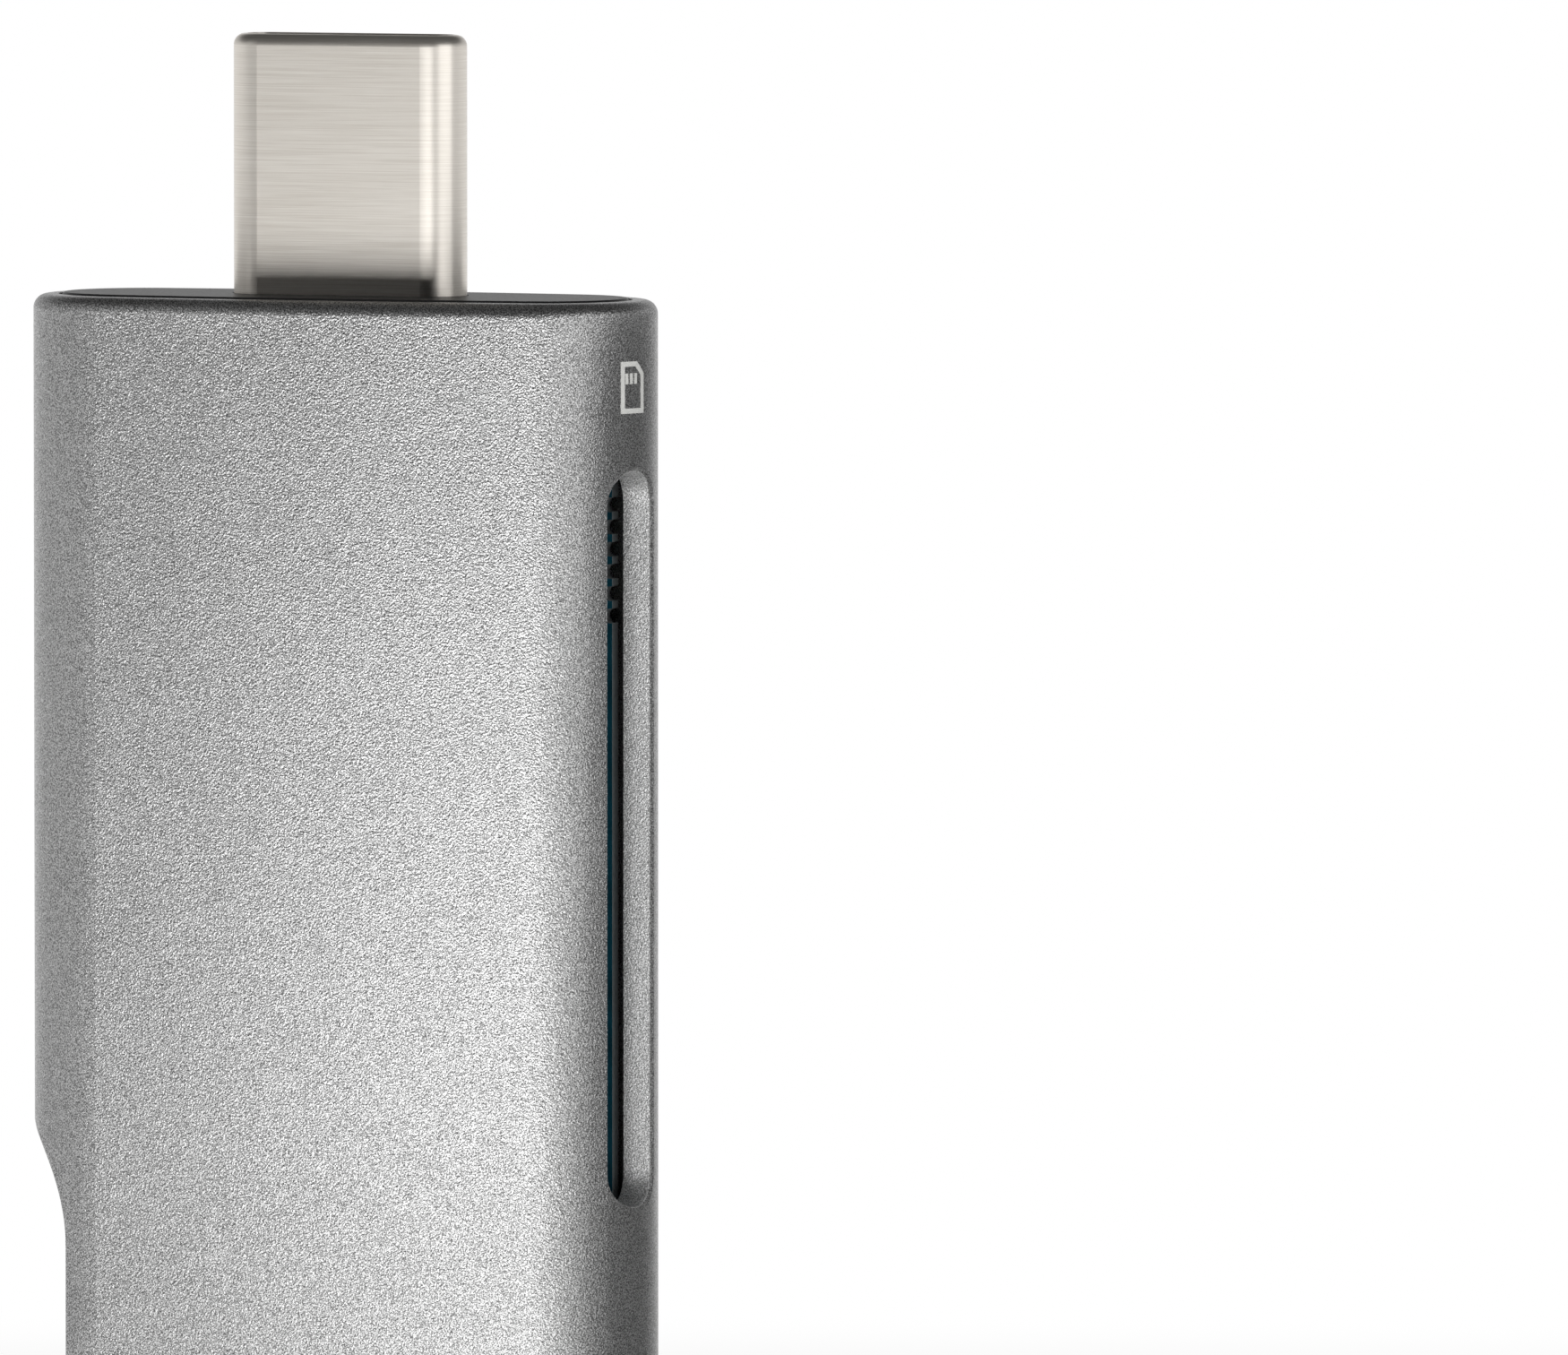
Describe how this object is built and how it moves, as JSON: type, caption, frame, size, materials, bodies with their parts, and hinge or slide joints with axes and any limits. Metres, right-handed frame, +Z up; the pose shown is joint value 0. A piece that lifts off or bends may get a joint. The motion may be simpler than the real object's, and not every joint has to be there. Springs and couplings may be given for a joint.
{
  "type": "usb memory card reader",
  "caption": "Stick-shaped card reader: oval aluminium tube with black end plates, a reversible data plug at one end, a long card slot in one edge and a small card slot in a finger scoop.",
  "frame": {"origin": "centre of the lower end, on the surface that the reader stands on", "axes": "+Z up the stick to the plug, +X to the large card slot, -Y to the front"},
  "size_m": [0.022, 0.0084, 0.0649],
  "materials": {
    "anodised_aluminium": "bead-blasted and clear anodised",
    "black_plastic": "moulded, fine satin",
    "nickel_plated_steel": "nickel plated, brushed across",
    "connector_plastic": "moulded, matt",
    "gold_plated_contacts": "gold plated",
    "spring_steel": "rolled sheet",
    "board_laminate": "dark solder mask over glass laminate",
    "chip_epoxy": "moulded epoxy",
    "tinned_leads": "tin plated",
    "ceramic": "fired ceramic"
  },
  "bodies": {
    "root": {"housing": "anodised_aluminium", "plug_end_plate": "black_plastic", "base_end_plate": "black_plastic", "plug_shell": "nickel_plated_steel", "plug_insulator": "connector_plastic", "plug_contacts_front": "gold_plated_contacts", "plug_contacts_back": "gold_plated_contacts", "plug_latch_plate": "spring_steel", "plug_ground_springs": "spring_steel", "circuit_board": "board_laminate", "large_socket_frame": "connector_plastic", "large_socket_cover": "spring_steel", "large_socket_contacts": "gold_plated_contacts", "large_socket_leaves": "gold_plated_contacts", "small_socket_frame": "connector_plastic", "small_socket_cover": "spring_steel", "small_socket_contacts": "gold_plated_contacts", "small_socket_leaf": "gold_plated_contacts", "controller_chip": "chip_epoxy", "controller_leads": "tinned_leads", "voltage_regulator": "chip_epoxy", "regulator_leads": "tinned_leads", "crystal_base": "ceramic", "crystal_lid": "spring_steel", "capacitors": "ceramic", "resistors": "chip_epoxy"}
  },
  "joints": []
}
